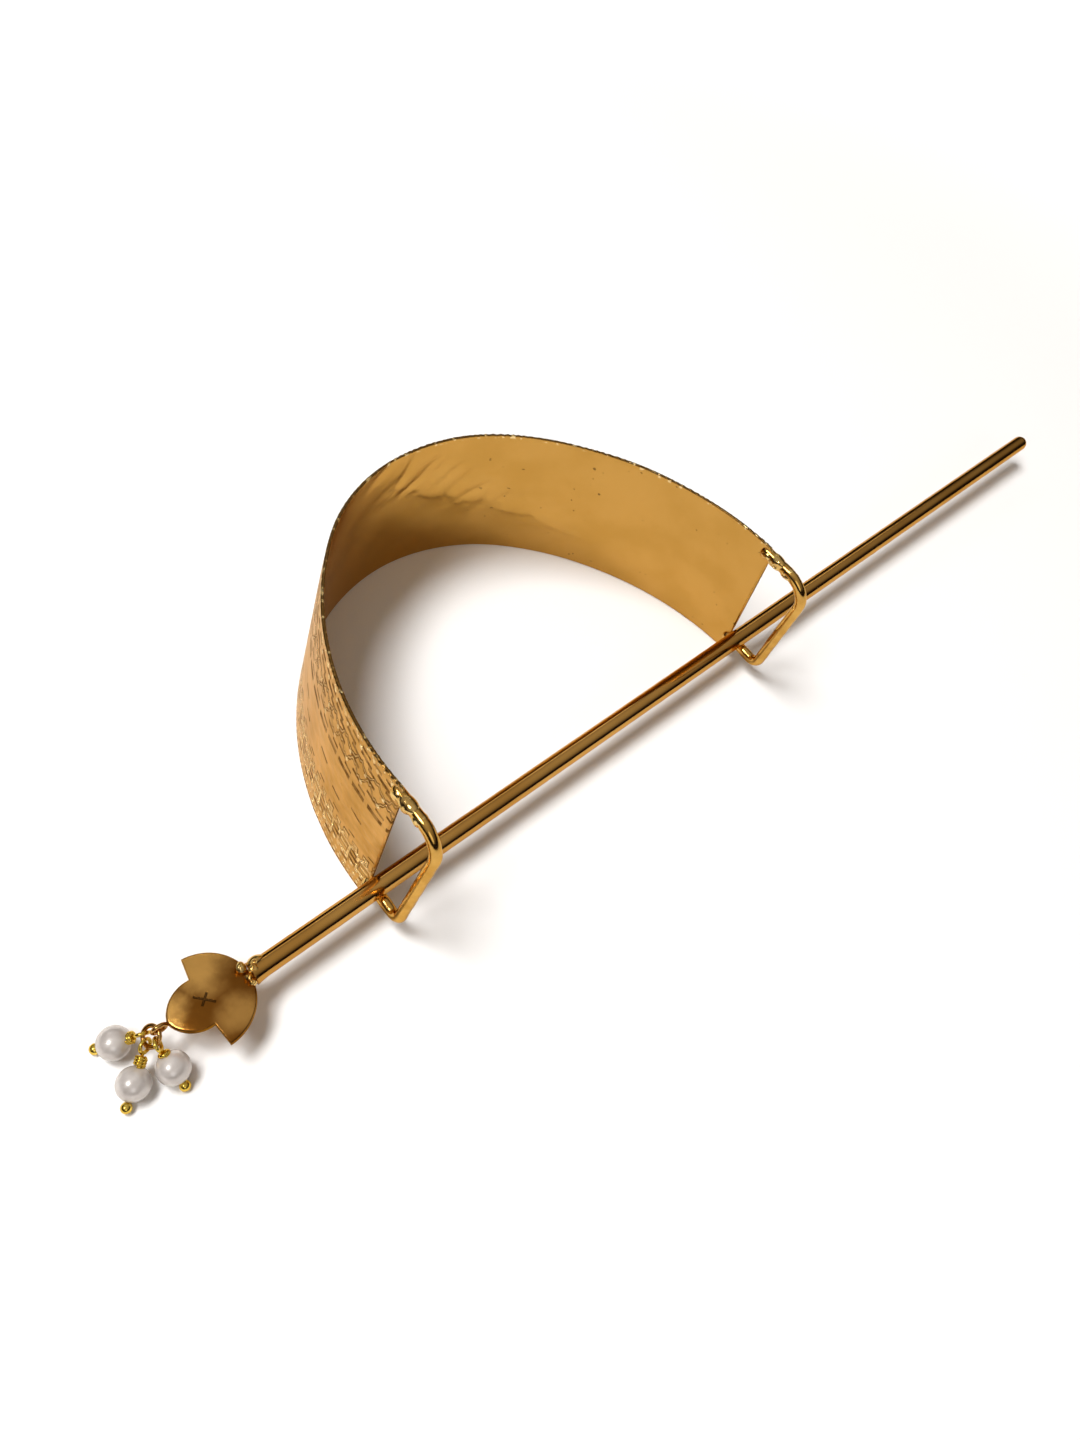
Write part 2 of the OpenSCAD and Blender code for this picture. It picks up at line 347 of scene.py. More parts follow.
RAISED_DOTS = (
    (28.9, 4.3, 0.44, 1.8),
    (29.35, 1.43, 0.24, 0.0),
    (27.9, 4.3, 0.34, 3.0),
    (22.0, 4.3, 0.36, 0.5),
    (24.3, 4.3, 0.30, 1.0),
    (7.1, 1.25, 0.36, 0.0),
    (3.5, 1.25, 0.36, 0.6),
    (2.1, 1.25, 0.32, 0.3),
    (1.1, 1.25, 0.36, 0.0),
)


def rolled_pattern(s, z):
    """The two rolled borders, as (how deep the cuts are, how high the raised lines are, how high
    the raised dots are), each from 0 to 1. A mark is repeated along s: the distance from its
    middle line, less half its width (0.6 of it for a dash), eased over 0.18 mm. Beside a raised
    line runs a shallower cut."""

    def soft(distance):
        return distance.rise(-0.08, 0.10, 1.0, 0.0)

    def dashes(row, pitch, length, width, shift, tilt):
        along = ((s + shift) % pitch) - pitch / 2
        across = abs(z - row - along * tilt) - width * 0.6
        return soft((abs(along) - length / 2).most(across))

    def dots(row, pitch, radius, shift):
        along = ((s + shift) % pitch) - pitch / 2
        return soft(((along ** 2 + (z - row) ** 2) ** 0.5) - radius)

    def key_line(row, pitch, swing, width, shift):
        """A line that steps up and down by swing, as a clipped sawtooth with a ripple on it."""
        saw = abs((s + shift) % pitch - pitch / 2) * (4 / pitch) - 1.0
        step = (saw * 2.2).most(-1.0).least(1.0) + (s * (8 * math.pi / pitch)).sine() * 0.22
        return abs(z - row - step * swing) - width / 2

    def square_curl(row, pitch, size, width, shift):
        """A square ring that is open on one side of its middle, and a short bar turned into it."""
        along = ((s + shift) % pitch) - pitch / 2
        up = z - row
        ring = abs(abs(along).most(abs(up)) - size) - width / 2
        ring = ring.most((along - 0.1).least(0.35 - abs(up)))
        hook = (abs(along + 0.1) - size * 0.6).most(abs(up - size * 0.15) - width / 2)
        return ring.least(hook)

    keyed = key_line(*KEY_LINES[0]).least(key_line(*KEY_LINES[1]))
    curled = square_curl(*SQUARE_CURLS[0]).least(square_curl(*SQUARE_CURLS[1]))
    lines = soft(keyed).most(soft(curled))
    # the shallow cut beside a raised line is browned later, partly as painted shade outlining the line
    cuts = ((soft(keyed - 0.34) - lines) * 0.85).most((soft(curled - 0.20) - lines) * 0.65)
    for row in CUT_DASHES:
        cuts = cuts.most(dashes(*row))
    beads = dots(*RAISED_DOTS[0])
    for row in RAISED_DOTS[1:]:
        beads = beads.most(dots(*row))
    return cuts * (1 - beads), lines, beads


INNER_BRASS = (0.56, 0.312, 0.066), (0.64, 0.365, 0.088)
OUTER_BRASS = (0.52, 0.28, 0.065), (0.74, 0.435, 0.145)
PAINTED_CROWN_SHEEN = (0.84, 0.60, 0.38)
CUT_BROWN_AND_SHADE = (0.16, 0.058, 0.004)
RUBBED_GLINT_LINE = (1.0, 0.74, 0.33)
RUBBED_GLINT_DOT = (1.0, 0.80, 0.42)
RIM_BROWN = (0.14, 0.07, 0.02)
PAINTED_RIM_GLINT = (0.95, 0.74, 0.36)
DARK_SPECK = (0.10, 0.045, 0.015)


def band_finish():
    """Polished inside, with a fold; outside two worn borders with hammered and swirled brass
    between them, painted paler toward the crown as a painted reflection, brown in the cuts and,
    partly as painted shade, beside the raised lines, rubbed bright with painted glints on what
    stands out; a brown rim with bright specks painted as glints."""
    gold = Finish("rolled_brass")
    s, z, side = gold.parts(gold.node("ShaderNodeAttribute", {"attribute_name": "strip"}, out=1), 3)
    wobble = gold.cloud(2.2, 2.0) - 0.5
    drift = gold.cloud(7.0, 2.0) - 0.5
    outer = side.rise(0.75, 0.95)
    cuts, lines, beads = rolled_pattern(s + wobble * 0.5 + drift * 1.6, z + drift * 0.6 + wobble * 0.25)
    worn = gold.cloud(2.0, 3.0).rise(0.36, 0.60)
    cuts = cuts * outer * (0.55 + 0.45 * worn)
    lines = lines * outer * (0.4 + 0.6 * worn)
    beads = beads * outer * (0.3 + 0.7 * worn)
    swirl = (gold.cloud(6.0, 2.0) * 30.0).sine() * z.rise(8.0, 11.0) * z.rise(17.0, 20.0, 1.0, 0.0)
    hammer = (gold.cloud(2.2, 3.0) * 0.6 + swirl * 0.10) * outer
    grain = gold.cloud(0.22, 2.0)
    streak = gold.node("ShaderNodeCombineXYZ", values={0: s * 0.0004, 1: z * 0.001, 2: drift * 0.004})
    mottle = gold.cloud(2.4, 3.0, 0.55, streak).rise(0.25, 0.75)
    # the pressed fold goes on in the relief, with a low ridge above its line
    over = z - FOLD_HEIGHT + fold_fall(s) + drift * 7.0 + wobble * 3.0
    under = (over * -FOLD_FADE).most(0.0).least(1.0)
    ridge = over.rise(-1.0, 0.8) * over.rise(0.8, 7.0, 1.0, 0.0)
    fold = (under ** 2 - under * 2) * 0.45 + ridge * 0.2
    fold = fold * (1 - outer) * s.rise(-12.0, 5.0) * s.rise(25.0, 46.0, 1.0, 0.0)
    low_border = z.rise(10.0, 14.0, 1.0, 0.0)
    raised = lines * (0.7 + 0.5 * low_border) + beads * 0.9
    gold.relief(raised - cuts + hammer + fold + grain * 0.04, 0.3)
    specks = gold.cloud(1.1, 1.0).rise(0.755, 0.79) * s.rise(0.0, 30.0, 0.25, 1.0)
    tone = gold.cloud(9.0, 4.0).rise(0.3, 0.7)
    outer_tone = gold.blend(mottle, *OUTER_BRASS)
    # painted reflection: the outer face is painted paler toward the crown, for the sheen it mirrors
    # there
    outer_tone = gold.blend(abs(s).rise(30.0, 60.0, 0.65, 0.0), outer_tone, PAINTED_CROWN_SHEEN)
    colour = gold.blend(outer, gold.blend(tone, *INNER_BRASS), outer_tone)
    # brown in the cuts: patina in the hollows, and beside the raised lines also painted shade
    colour = gold.blend(cuts * 0.95, colour, CUT_BROWN_AND_SHADE)
    # the raised lines and dots are rubbed bright, and their bright colour is also a painted glint
    colour = gold.blend(lines * (0.35 + 0.55 * low_border), colour, RUBBED_GLINT_LINE)
    colour = gold.blend(beads * 0.9, colour, RUBBED_GLINT_DOT)
    rim = side.rise(0.02, 0.2) * side.rise(0.8, 0.98, 1.0, 0.0) * z.rise(15.0, 20.0)
    colour = gold.blend(rim * 0.8, colour, RIM_BROWN)
    # painted highlight: bright specks painted along the top of the rim as glints
    painted_rim_glints = gold.cloud(0.9, 1.0).rise(0.60, 0.66) * z.rise(29.2, 29.6)
    colour = gold.blend(painted_rim_glints, colour, PAINTED_RIM_GLINT)
    colour = gold.blend(specks * 0.7, colour, DARK_SPECK)
    rough = (0.23 + 0.15 * outer) * (0.85 + 0.3 * tone) - lines.most(beads) * 0.14
    gold.feed(Base_Color=colour, Metallic=1 - 0.15 * cuts, Roughness=rough + 0.2 * cuts,
              Specular_Tint=(0.97, 0.80, 0.58, 1))
    return gold.material


sheet_points, sheet_faces, sheet_marks = band_sheet()
band = lay_mesh("band", sheet_points, sheet_faces, "cuff", "cuff_brass", "cuff", {"strip": sheet_marks})
band.data.materials.append(band_finish())


# The two loops. Brass wire 1.8 mm thick, bent to a tall three-sided loop and soldered to the
# band's end near the rim and near the foot. The stick lies on its lower run.
LOOP_WIRE = 0.9
LOOP_CORNERS = ((-0.6, 28.7), (9.6, 27.9), (6.9, 3.2), (-0.6, 4.2))
LOOP_BENDS = (4.4, 1.8)


def straight(start, end, step):
    """Points from start to end, about a step apart."""
    return np.linspace(start, end, max(3, int(np.linalg.norm(end - start) / step)))


def rounded_path(corners, bends, step=0.25):
    """A line through the corners, turned by arcs of the given radii: each arc starts its radius
    times tan(half the turn) before the corner, and its points go round its middle."""
    corners = [np.array(c, float) for c in corners]
    parts, start = [], corners[0]
    for before, corner, after, bend in zip(corners, corners[1:], corners[2:], bends):
        come = (corner - before) / np.linalg.norm(corner - before)
        leave = (after - corner) / np.linalg.norm(after - corner)
        turn = math.atan2(come[0] * leave[1] - come[1] * leave[0], come @ leave)
        cut = bend * math.tan(abs(turn) / 2)
        enter = corner - cut * come
        inward = np.sign(turn) * np.array([-come[1], come[0]])
        sweep = np.linspace(0, abs(turn), max(8, int(bend * abs(turn) / step)))[:, None]
        parts.append(straight(start, enter, step)[:-1])
        parts.append(enter + bend * (inward * (1 - np.cos(sweep)) + come * np.sin(sweep)))
        start = parts[-1][-1]
    parts.append(straight(start, corners[-1], step)[1:])
    return np.concatenate(parts)


def wire_skin(path, across, radius, sides, closed=False, start=0):
    """A wire round a path. Across is square to the path: the normal of the path's plane, or one
    direction for each of its points. The radius is one number, or a column of them. Ring i is
    path[i] + radius[i] * (cos(a) * across + sin(a) * (tangent x across))."""
    path = np.asarray(path, float)
    across = np.broadcast_to(np.asarray(across, float), path.shape)
    step = np.roll(path, -1, 0) - np.roll(path, 1, 0) if closed else np.gradient(path, axis=0)
    tangent = step / np.linalg.norm(step, axis=1, keepdims=True)
    upward = np.cross(tangent, across)
    angle = np.linspace(0, 2 * np.pi, sides, endpoint=False)
    ring = np.cos(angle)[:, None] * across[:, None, :] + np.sin(angle)[:, None] * upward[:, None, :]
    radius = np.broadcast_to(radius, (len(path), 1))
    points = (path[:, None, :] + radius[:, :, None] * ring).reshape(-1, 3)
    faces = grid_faces(len(path), sides, start, rows_meet=closed, columns_meet=True)
    if not closed:
        last = start + (len(path) - 1) * sides
        faces += [list(range(start, start + sides))[::-1], list(range(last, last + sides))]
    return points, faces


def lump(centre, radii, seed, start, rows=22, columns=30):
    """A drop of solder: an ellipsoid whose radius is swelled by three slow waves of its own."""
    chance = np.random.default_rng(seed)
    polar = np.linspace(0.02, np.pi - 0.02, rows)[:, None]
    round_it = np.linspace(0, 2 * np.pi, columns, endpoint=False)[None, :]
    waves = 0
    for _ in range(3):
        high = chance.uniform(0.03, 0.08)
        wave = high * np.sin(polar * chance.integers(1, 4) + chance.uniform(0, 6))
        waves = waves + wave * np.cos(round_it * chance.integers(1, 4) + chance.uniform(0, 6))
    shape = np.stack([np.sin(polar) * np.cos(round_it), np.sin(polar) * np.sin(round_it),
                      np.cos(polar) + 0 * round_it], -1) * (1 + waves)[..., None]
    points = (centre + shape * np.array(radii)).reshape(-1, 3)
    last = start + (rows - 1) * columns
    caps = [list(range(start, start + columns))[::-1], list(range(last, last + columns))]
    return points, grid_faces(rows, columns, start, columns_meet=True) + caps


def solder_drops(drops, about=(0, 0, 0), reseed=0):
    """Drops that have run against each other, in one mesh: the middle (measured from about), the
    radii and the seed of each."""
    points, faces = [], []
    for middle, radii, seed in drops:
        start = sum(map(len, points))
        more, joined = lump(np.array(about) + np.array(middle), radii, seed + reseed, start)
        points.append(more)
        faces += joined
    return np.concatenate(points), faces


def loop_to_world(flat, side):
    """The loop's own plane (reach, height, out of plane) set at a band end and leant with it."""
    lean = -side * math.atan(LEAN)
    c, s = math.cos(lean), math.sin(lean)
    x, y, z = -flat[:, 2], -flat[:, 0], flat[:, 1]
    return np.stack([x * c + z * s, y, z * c - x * s], -1) + np.array([side * END_X, END_Y, 0])


def wire_loop(side):
    """The bent wire. Its radius has two slow waves along it, as hand-bent wire is a little uneven,
    and over the last LOOP_WIRE at each end it closes as a quarter circle."""
    flat = rounded_path(LOOP_CORNERS, LOOP_BENDS)
    length = np.concatenate([[0], np.cumsum(np.linalg.norm(np.diff(flat, axis=0), axis=1))])
    uneven = LOOP_WIRE * (1 + 0.018 * np.sin(length * 1.3 + side) + 0.012 * np.sin(length * 2.9))
    ends = np.clip(np.minimum(length, length[-1] - length) / LOOP_WIRE, 0.02, 1)
    radius = uneven * np.sqrt(1 - (1 - ends) ** 2)
    flat = np.concatenate([flat, np.zeros((len(flat), 1))], 1)
    points, faces = wire_skin(flat, (0, 0, 1), radius[:, None], 24)
    return loop_to_world(points, side), faces


def loop_solder(side):
    """Solder where the wire meets the band: three drops by the rim, two by the foot. The right
    loop's have seeds of their own."""
    drops = (
        ((0.7, 28.35, 0.1), (1.3, 1.05, 1.0), 3),
        ((2.7, 28.45, 0.1), (1.7, 1.16, 1.12), 5),
        ((5.0, 28.1, 0.0), (1.5, 1.04, 1.02), 8),
        ((0.3, 3.95, 0.1), (1.3, 1.2, 1.25), 13),
        ((1.3, 4.0, -0.45), (0.7, 0.62, 0.6), 17),
    )
    points, faces = solder_drops(drops, reseed=40 if side > 0 else 0)
    return loop_to_world(points, side), faces


def wire_finish(name, light, dark, roughness, scratch):
    """Polished brass in slow clouds of a light and a dark tone, dulled and scratched finely. The
    scratches are as deep as scratch says, in millimetres."""
    gold = Finish(name)
    tone = gold.cloud(2.5, 4.0).rise(0.3, 0.7)
    fine = gold.cloud(0.35, 3.0)
    gold.relief(gold.cloud(1.2, 3.0) + fine * 0.15, scratch)
    gold.feed(Base_Color=gold.blend(tone, dark, light), Metallic=1.0,
              Roughness=roughness * (0.7 + 0.6 * fine), Specular_Tint=(0.97, 0.80, 0.55, 1))
    return gold.material


bright_wire = wire_finish("polished_loop_wire", (0.72, 0.43, 0.11), (0.58, 0.32, 0.07), 0.13, 0.03)
solder_drop = wire_finish("bright_solder", (0.92, 0.68, 0.27), (0.66, 0.40, 0.11), 0.17, 0.12)
for side, word in ((-1, "left"), (1, "right")):
    loop = lay_mesh("loop_" + word, *wire_loop(side), "cuff", "cuff_brass", "cuff")
    loop.data.materials.append(bright_wire)
    solder = lay_mesh("loop_solder_" + word, *loop_solder(side), "cuff", "cuff_brass", "cuff")
    solder.data.materials.append(solder_drop)


# The stick. A drawn brass rod 3 mm thick with a rounded tip, polished, and lying on the lower
# runs of both loops. It is soldered to the head plate at its other end.
ROD_RADIUS = 1.5
ROD_LENGTH = 191.8
HEAD_X = -60.0
# at the rod's height the slanting ends reach about 0.4 mm past END_Y; the rod lies off them
END_REACH = 0.4
ROD_GAP = 0.2
ROD_Y = END_Y - END_REACH - ROD_GAP - ROD_RADIUS
# it lies on the sloping lower run of each loop, a hair above the wire
REST_GAP = 0.03
RUN_LOW, RUN_HIGH = LOOP_CORNERS[2:]
RUN_SLOPE = math.atan((RUN_HIGH[1] - RUN_LOW[1]) / (RUN_LOW[0] - RUN_HIGH[0]))
ROD_Z = RUN_LOW[1] + (RUN_LOW[0] - END_Y + ROD_Y) * math.tan(RUN_SLOPE)
ROD_Z += (LOOP_WIRE + ROD_RADIUS + REST_GAP) / math.cos(RUN_SLOPE)
HEAD = np.array([HEAD_X, ROD_Y, ROD_Z])


def rod_skin():
    """A turned profile along x. The radius is ROD_RADIUS with waves of a few microns. It flares by
    0.21 * (1 - x / 2.2) ** 2 at the plate, and over the last radius falls as a quarter circle."""
    tip_start = ROD_LENGTH - ROD_RADIUS
    tip = tip_start + ROD_RADIUS * np.sin(np.radians(np.linspace(6, 89, 14)))
    along = np.concatenate([[0.0, 0.02], np.linspace(0.1, 2.4, 14),
                            np.linspace(2.8, tip_start, 420), tip])
    into = np.maximum(0, along - tip_start)
    radius = np.sqrt(np.maximum(ROD_RADIUS ** 2 - into ** 2, 0))
    slow, quick = (1 + np.sin(along * 0.31)) / 2, (1 + np.sin(along * 0.83)) / 2
    radius = radius * (1 - 0.004 * slow - 0.003 * quick)
    radius += 0.21 * np.clip(1 - along / 2.2, 0, 1) ** 2
    radius[0] = 0.05
    path = np.stack([along, 0 * along, 0 * along], -1) + HEAD
    return wire_skin(path, (0, 1, 0), radius[:, None], 40)


def rod_finish():
    """Polished, with fine marks drawn out along the rod and slow changes of tone."""
    gold = Finish("polished_rod")
    stretch = gold.node("ShaderNodeMapping", values={"Vector": gold.where(), "Scale": (0.04, 1, 1)})
    drawn = gold.cloud(0.25, 3.0, place=stretch)
    tone = gold.cloud(14.0, 3.0).rise(0.3, 0.7)
    gold.relief(drawn, 0.002)
    gold.feed(Base_Color=gold.blend(tone, (0.54, 0.28, 0.065), (0.66, 0.37, 0.10)), Metallic=1.0,
              Roughness=0.08 + 0.08 * drawn, Specular_Tint=(0.95, 0.70, 0.45, 1))
    return gold.material


rod = lay_mesh("rod", *rod_skin(), "stick", "stick_brass", "stick")
rod.data.materials.append(rod_finish())


# The head plate. Cut from 1 mm brass with a broad cap and a pointed body, struck to a low
# dome, brushed, and soldered across the end of the rod. A wire eye is soldered to its point.
PLATE = 1.0
PLATE_MIDDLE = 4.5
CAP_RADIUS = 6.7
CAP_MIDDLE = 6.8
BODY_RADIUS = 4.6
BODY_MIDDLE = (7.4, 1.1)
STEP_CORNER = (2.6, 3.0)
DOME_RADIUS = 32.0
DOME_MIDDLE = 6.5
DOME_TOP = 0.95
HEAD_TURN = math.radians(-4.5)


def head_turned(points):
    """Sets points given from the rod's end in place: they turn by HEAD_TURN about the upright
    line through it, as (x cos t - y sin t, x sin t + y cos t, z), and move to HEAD."""
    c, s = math.cos(HEAD_TURN), math.sin(HEAD_TURN)
    return np.asarray(points, float) @ np.array([[c, s, 0], [-s, c, 0], [0, 0, 1]]) + HEAD


def plate_edge(angle):
    """Distance from (PLATE_MIDDLE, 0) to the plate's outline, in the direction of the angle. The
    cap is a circle about (CAP_MIDDLE, 0), cut off straight across as far out as STEP_CORNER, and
    then along a line that goes 0.9 back in 6 out. The body is where two circles overlap, one
    about BODY_MIDDLE and one about its mirror image. STEP_CORNER is measured from PLATE_MIDDLE."""
    ahead, rise, far = np.cos(angle), np.abs(np.sin(angle)), 99
    step_x, step_y = STEP_CORNER
    back, up = 0.9, 6

    def reach(x, y, r):
        x = x - PLATE_MIDDLE
        toward = x * ahead + y * np.sin(angle)
        return toward + np.sqrt(np.maximum(toward ** 2 - x ** 2 - y ** 2 + r ** 2, 0))

    x, y = BODY_MIDDLE
    body = np.minimum(reach(x, y, BODY_RADIUS), reach(x, -y, BODY_RADIUS))
    body = np.where(np.abs(angle) < 1.5, body, 0)
    slope = back * rise + up * ahead
    line = np.where(slope > 0, (step_y * back + up * step_x) / np.maximum(slope, 1e-6), far)
    shoulder = np.where(ahead > 0.001, step_x / np.maximum(ahead, 1e-6), far)
    cap = np.minimum(np.minimum(reach(CAP_MIDDLE, 0, CAP_RADIUS), line), shoulder)
    return np.maximum(cap, body)


def plate_dome(x, y):
    """Height of the dome's upper face above the rod's middle: a sphere of DOME_RADIUS that is
    DOME_TOP high at (DOME_MIDDLE, 0)."""
    return DOME_TOP - DOME_RADIUS + np.sqrt(DOME_RADIUS ** 2 - (x - DOME_MIDDLE) ** 2 - y ** 2)


def plate_skin():
    """Rings from the middle out over the upper face, round the edge by two quarter circles, and
    back to the middle under it. At the angle a ring k lies share[k] * edge(a) from the middle.
    A point's mark is its share, for the brown along the edge."""
    # the outline's corners, as seen from the middle, each have a column of their own
    corners = np.arctan2([6.69, 3.485, 0], [2.05, 2.53, 7.37])
    turns = np.linspace(-np.pi, np.pi, 220, endpoint=False)
    angle = np.unique(np.concatenate([turns, corners, -corners]))
    bevel = np.radians(np.linspace(0, 90, 5))
    share = np.concatenate([[0.002], np.linspace(0.06, 0.86, 20), [0.90, 0.93]])
    top = np.concatenate([share, 1 - 0.045 * (1 - np.sin(bevel))])
    drop = np.concatenate([0 * share, 0.3 * (1 - np.cos(bevel))])
    ring = np.concatenate([top, top[::-1]])[:, None]
    edge = plate_edge(angle)[None, :] * ring
    x, y = PLATE_MIDDLE + edge * np.cos(angle), edge * np.sin(angle)
    upper = plate_dome(x, y)
    half = len(top)
    drop = np.concatenate([drop, drop[::-1]])[:, None]
    height = np.where(np.arange(2 * half)[:, None] < half, upper - drop, upper - PLATE + drop)
    rows, columns = x.shape
    points = head_turned(np.stack([-x, -y, height], -1).reshape(-1, 3))
    last = (rows - 1) * columns
    caps = [list(range(columns))[::-1], list(range(last, last + columns))]
    marks = np.stack(np.broadcast_arrays(ring, 0 * x, 0 * y), -1).reshape(-1, 3)
    return points, grid_faces(rows, columns, columns_meet=True) + caps, marks


# the plate's dark tone and its bright tone together paint its reflections
PLATE_PAINTED_REFLECTION = (0.24, 0.090, 0.012), (0.98, 0.555, 0.15)
EDGE_BROWN = (0.20, 0.085, 0.015)
STROKE_BROWN = (0.14, 0.06, 0.015)


def plate_finish():
    """Brushed across, with a painted reflection: dark in the middle and painted bright in three
    spots; brown along the edge. In its middle two short strokes cross, cut with a graver."""
    gold = Finish("brushed_plate")
    place = gold.node("ShaderNodeMapping", {"vector_type": "TEXTURE"}, {
        "Vector": gold.where(), "Location": tuple(HEAD * 0.001), "Rotation": (0, 0, HEAD_TURN)})
    x, y = [part * -1000.0 for part in gold.parts(place, 2)]
    stretched = gold.node("ShaderNodeMapping", values={
        "Vector": gold.where(), "Rotation": (0, 0, 0.5), "Scale": (0.2, 1, 1)})
    brushed = gold.cloud(0.4, 3.0, place=stretched)
    patch = gold.cloud(4.0, 3.0).rise(0.3, 0.7)
    one_way, other_way = x - 6.6 + y, x - 6.6 - y
    long_stroke = (abs(one_way) - 0.12).most(abs(other_way) - 2.0)
    short_stroke = (abs(other_way) - 0.12).most(abs(one_way) - 1.2)
    cut = long_stroke.least(short_stroke).rise(-0.05, 0.12, 1.0, 0.0)
    gold.relief(brushed * 0.05 + patch * 0.4 - cut, 0.12)

    def painted_sheen_spot(at_x, at_y, reach):
        away = ((x - at_x) ** 2 + (y - at_y) ** 2) ** 0.5
        return (away + patch * 1.5).rise(reach * 0.3, reach, 1.0, 0.0)

    # painted reflection: three bright painted patches on the dark plate
    worn = painted_sheen_spot(5.2, -4.6, 6.2).most(painted_sheen_spot(11.2, -1.8, 5.0))
    worn = worn.most(painted_sheen_spot(3.6, 4.0, 4.4) * 0.55)
    to_edge = gold.parts(gold.node("ShaderNodeAttribute", {"attribute_name": "to_edge"}, out=1), 1)[0]
    tone = gold.blend(worn, *PLATE_PAINTED_REFLECTION)
    tone = gold.blend(to_edge.rise(0.955, 0.99) * 0.75, tone, EDGE_BROWN)
    gold.feed(Base_Color=gold.blend(cut * 0.75, tone, STROKE_BROWN), Metallic=1.0,
              Roughness=0.2 + 0.10 * brushed, Specular_Tint=(0.95, 0.70, 0.40, 1))
    return gold.material


plate_points, plate_faces, plate_marks = plate_skin()
plate = lay_mesh("head_plate", plate_points, plate_faces, "stick", "stick_brass", "stick",
                 {"to_edge": plate_marks})
plate.data.materials.append(plate_finish())


def head_solder():
    """Drops of solder on the rod's end and the plate's edge, and one that fills under the plate."""
    drops = (
        ((-0.75, 1.25, 0.80), (0.75, 0.85, 0.75), 2),
        ((1.2, 0.85, 0.75), (1.25, 0.85, 0.95), 7),
        ((0.5, 0.1, 1.15), (0.8, 0.7, 0.6), 12),
        ((-0.6, -0.5, 0.75), (0.55, 0.6, 0.55), 9),
        ((-0.5, -1.15, 0.35), (0.6, 0.55, 0.75), 15),
        ((-0.9, 0.0, -0.5), (1.3, 1.2, 0.75), 21),
    )
    return solder_drops(drops, about=HEAD)


head_joint = lay_mesh("head_solder", *head_solder(), "stick", "stick_brass", "stick")
head_joint.data.materials.append(solder_drop)


EYE_X = -12.9
EYE_RADIUS = 0.9
EYE_WIRE = 0.3


def eye_skin():
    """A ring of wire on edge at the plate's point: a circle of EYE_RADIUS in the plane y = 0."""
    angle = np.linspace(0, 2 * np.pi, 56, endpoint=False)
    ring = np.stack([EYE_X + EYE_RADIUS * np.cos(angle), 0 * angle, EYE_RADIUS * np.sin(angle)], -1)
    points, faces = wire_skin(ring, (0, 1, 0), EYE_WIRE, 18, True)
    return head_turned(points), faces


ring_wire = wire_finish("ring_wire", (0.70, 0.40, 0.13), (0.48, 0.25, 0.07), 0.18, 0.02)
eye = lay_mesh("head_eye", *eye_skin(), "stick", "stick_brass", "stick")
eye.data.materials.append(ring_wire)


# The drops. Three pearls, each on a ball-ended pin of gilt wire that is turned to a loop and
# wound round its own shank, hang from one jump ring in the eye. Each lies on the table.
RING_RADIUS = 1.35
RING_DIP = math.radians(40)
RING_OUT = np.array([-math.cos(RING_DIP), 0, -math.sin(RING_DIP)])
RING_MIDDLE = np.array([EYE_X, 0, 0]) + (RING_RADIUS + 0.22) * RING_OUT
PEARL_RADIUS = 2.25
PIN_BALL = 0.75
PIN_RADIUS = 0.25
PIN_LOOP = 0.9
WINDING_RADIUS = 0.6
WINDING_WIRE = 0.24
WRAP_STEP = 0.46
LOOP_SLACK = 0.14
PEARL_GAP = 0.04
BALL_GAP = 0.02
# each drop's place round the ring and heading over the table, in degrees, and its turns of wire
DROPS = ((50, 153, 2), (-12, 221.5, 3), (-102, 276, 1))


def pearl_reach(wraps):
    """From the middle of a pin's loop, past its winding, to the middle of its pearl."""
    return PIN_LOOP + PIN_RADIUS + wraps * WRAP_STEP + PEARL_GAP + PEARL_RADIUS


def hung(points, round_ring, heading, wraps):
    """Sets points of a drop in place. In them x runs from the middle of the pin's loop to the
    pearl. They turn about x until the loop lies square across the ring's wire, dip until the
    pearl or the ball meets the table, turn to their heading, and move to the ring's wire."""
    a, w = math.radians(round_ring), math.radians(heading)
    side = np.array([0.0, 1.0, 0.0])
    spot = RING_MIDDLE + RING_RADIUS * (math.cos(a) * RING_OUT + math.sin(a) * side)
    along = math.cos(a) * side - math.sin(a) * RING_OUT
    reach = pearl_reach(wraps) + LOOP_SLACK
    high = spot[2] + HEAD[2]
    dip = min(math.asin((high - PEARL_RADIUS) / reach),
              math.asin((high - PIN_BALL) / (reach + PEARL_RADIUS + PIN_BALL + BALL_GAP)))
    up = np.array([math.sin(dip) * math.cos(w), math.sin(dip) * math.sin(w), math.cos(dip)])
    roll = math.atan(along @ up / (along @ np.array([-math.sin(w), math.cos(w), 0])))
    turned = Matrix.Rotation(w, 3, "Z") @ Matrix.Rotation(dip, 3, "Y") @ Matrix.Rotation(roll, 3, "X")
    return head_turned((np.asarray(points) + [LOOP_SLACK, 0, 0]) @ np.array(turned).T + spot)


